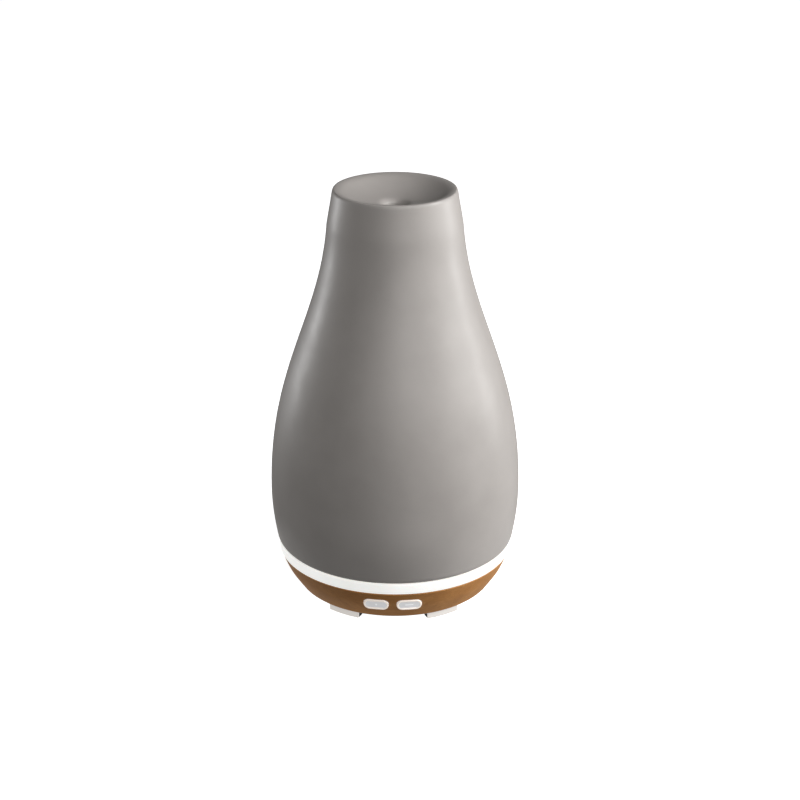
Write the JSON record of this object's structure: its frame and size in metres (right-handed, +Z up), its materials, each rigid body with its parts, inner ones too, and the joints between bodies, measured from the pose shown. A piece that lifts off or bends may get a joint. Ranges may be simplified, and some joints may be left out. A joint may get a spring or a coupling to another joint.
{
  "type": "essential oil diffuser",
  "caption": "Ultrasonic aroma diffuser: a grey glazed vase-shaped cover with a dished mist outlet over a water tank, on a glowing ring and a wooden base with push buttons.",
  "frame": {"origin": "on the table under the vase's axis, at the bottom of the foot pads", "axes": "+Z up; the push buttons face -Y and the power inlet faces +Y"},
  "size_m": [0.128, 0.128, 0.2126],
  "materials": {
    "glazed_stoneware": "warm grey semi-matte glaze",
    "dark_wood": "brown satin-lacquered wood",
    "frosted_diffuser": "milky frosted plastic, lit from below",
    "white_plastic": "white fine-textured moulding",
    "tank_plastic": "pale smooth polypropylene",
    "button_plastic": "light grey satin with a bright rim",
    "black_plastic": "black moulding",
    "black_rubber": "black non-slip rubber",
    "silicone": "translucent grey silicone",
    "circuit_board": "green solder mask",
    "lamp_lens": "pale yellow phosphor",
    "steel": "zinc plated",
    "aluminium": "extruded",
    "copper": "enamelled copper wire",
    "ferrite": "dark sintered ferrite",
    "wire_sheath": "red insulated wire"
  },
  "bodies": {
    "base": {"water_tank": "tank_plastic", "air_hood": "white_plastic", "sender_disc": "steel", "sender_seal": "silicone", "sender_clamp": "black_plastic", "clamp_screw_1": "steel", "clamp_screw_2": "steel", "clamp_screw_3": "steel", "light_ring": "frosted_diffuser", "lamp_board": "circuit_board", "lamp_1": "lamp_lens", "lamp_2": "lamp_lens", "lamp_3": "lamp_lens", "lamp_4": "lamp_lens", "lamp_5": "lamp_lens", "lamp_6": "lamp_lens", "wood_base": "dark_wood", "bottom_cover": "white_plastic", "foot_pad_1": "black_rubber", "foot_pad_2": "black_rubber", "foot_pad_3": "black_rubber", "foot_pad_4": "black_rubber", "foot_pad_5": "black_rubber", "foot_pad_6": "black_rubber", "base_screw_1": "steel", "base_screw_2": "steel", "base_screw_3": "steel", "base_screw_4": "steel", "fan_frame": "black_plastic", "air_duct": "white_plastic", "fan_screw_1": "steel", "fan_screw_2": "steel", "drive_board": "circuit_board", "capacitor": "black_plastic", "coil_core": "ferrite", "coil_winding": "copper", "transistor": "black_plastic", "heat_sink": "aluminium", "controller_chip": "black_plastic", "fan_socket": "white_plastic", "sender_socket": "white_plastic", "lamp_socket": "white_plastic", "fan_lead": "wire_sheath", "sender_lead": "wire_sheath", "lamp_lead": "wire_sheath", "mist_switch": "black_plastic", "light_switch": "black_plastic", "button_board": "circuit_board", "power_inlet": "black_plastic", "inlet_pin": "steel"},
    "cover": {"ceramic_cover": "glazed_stoneware"},
    "lid": {"inner_lid": "white_plastic", "mist_funnel": "white_plastic"},
    "mist_key": {"mist_button": "button_plastic", "mist_plunger": "steel"},
    "light_key": {"light_button": "button_plastic", "light_plunger": "steel"},
    "rotor": {"fan_rotor": "black_plastic"}
  },
  "joints": [
    {"name": "lid_lift", "type": "slide", "parent": "base", "child": "lid", "axis": [0, 0, 1], "range_m": [0, 0.06]},
    {"name": "cover_lift", "type": "slide", "parent": "lid", "child": "cover", "axis": [0, 0, 1], "range_m": [0, 0.18]},
    {"name": "mist_button_press", "type": "slide", "parent": "base", "child": "mist_key", "axis": [0, 1, 0], "range_m": [0, 0.0006], "stiffness_N_per_m": 500},
    {"name": "light_button_press", "type": "slide", "parent": "base", "child": "light_key", "axis": [0, 1, 0], "range_m": [0, 0.0006], "stiffness_N_per_m": 500},
    {"name": "fan_spin", "type": "hinge", "parent": "base", "child": "rotor", "pos_m": [-0.025, 0, 0.0102], "axis": [0, 0, 1], "continuous": true}
  ]
}
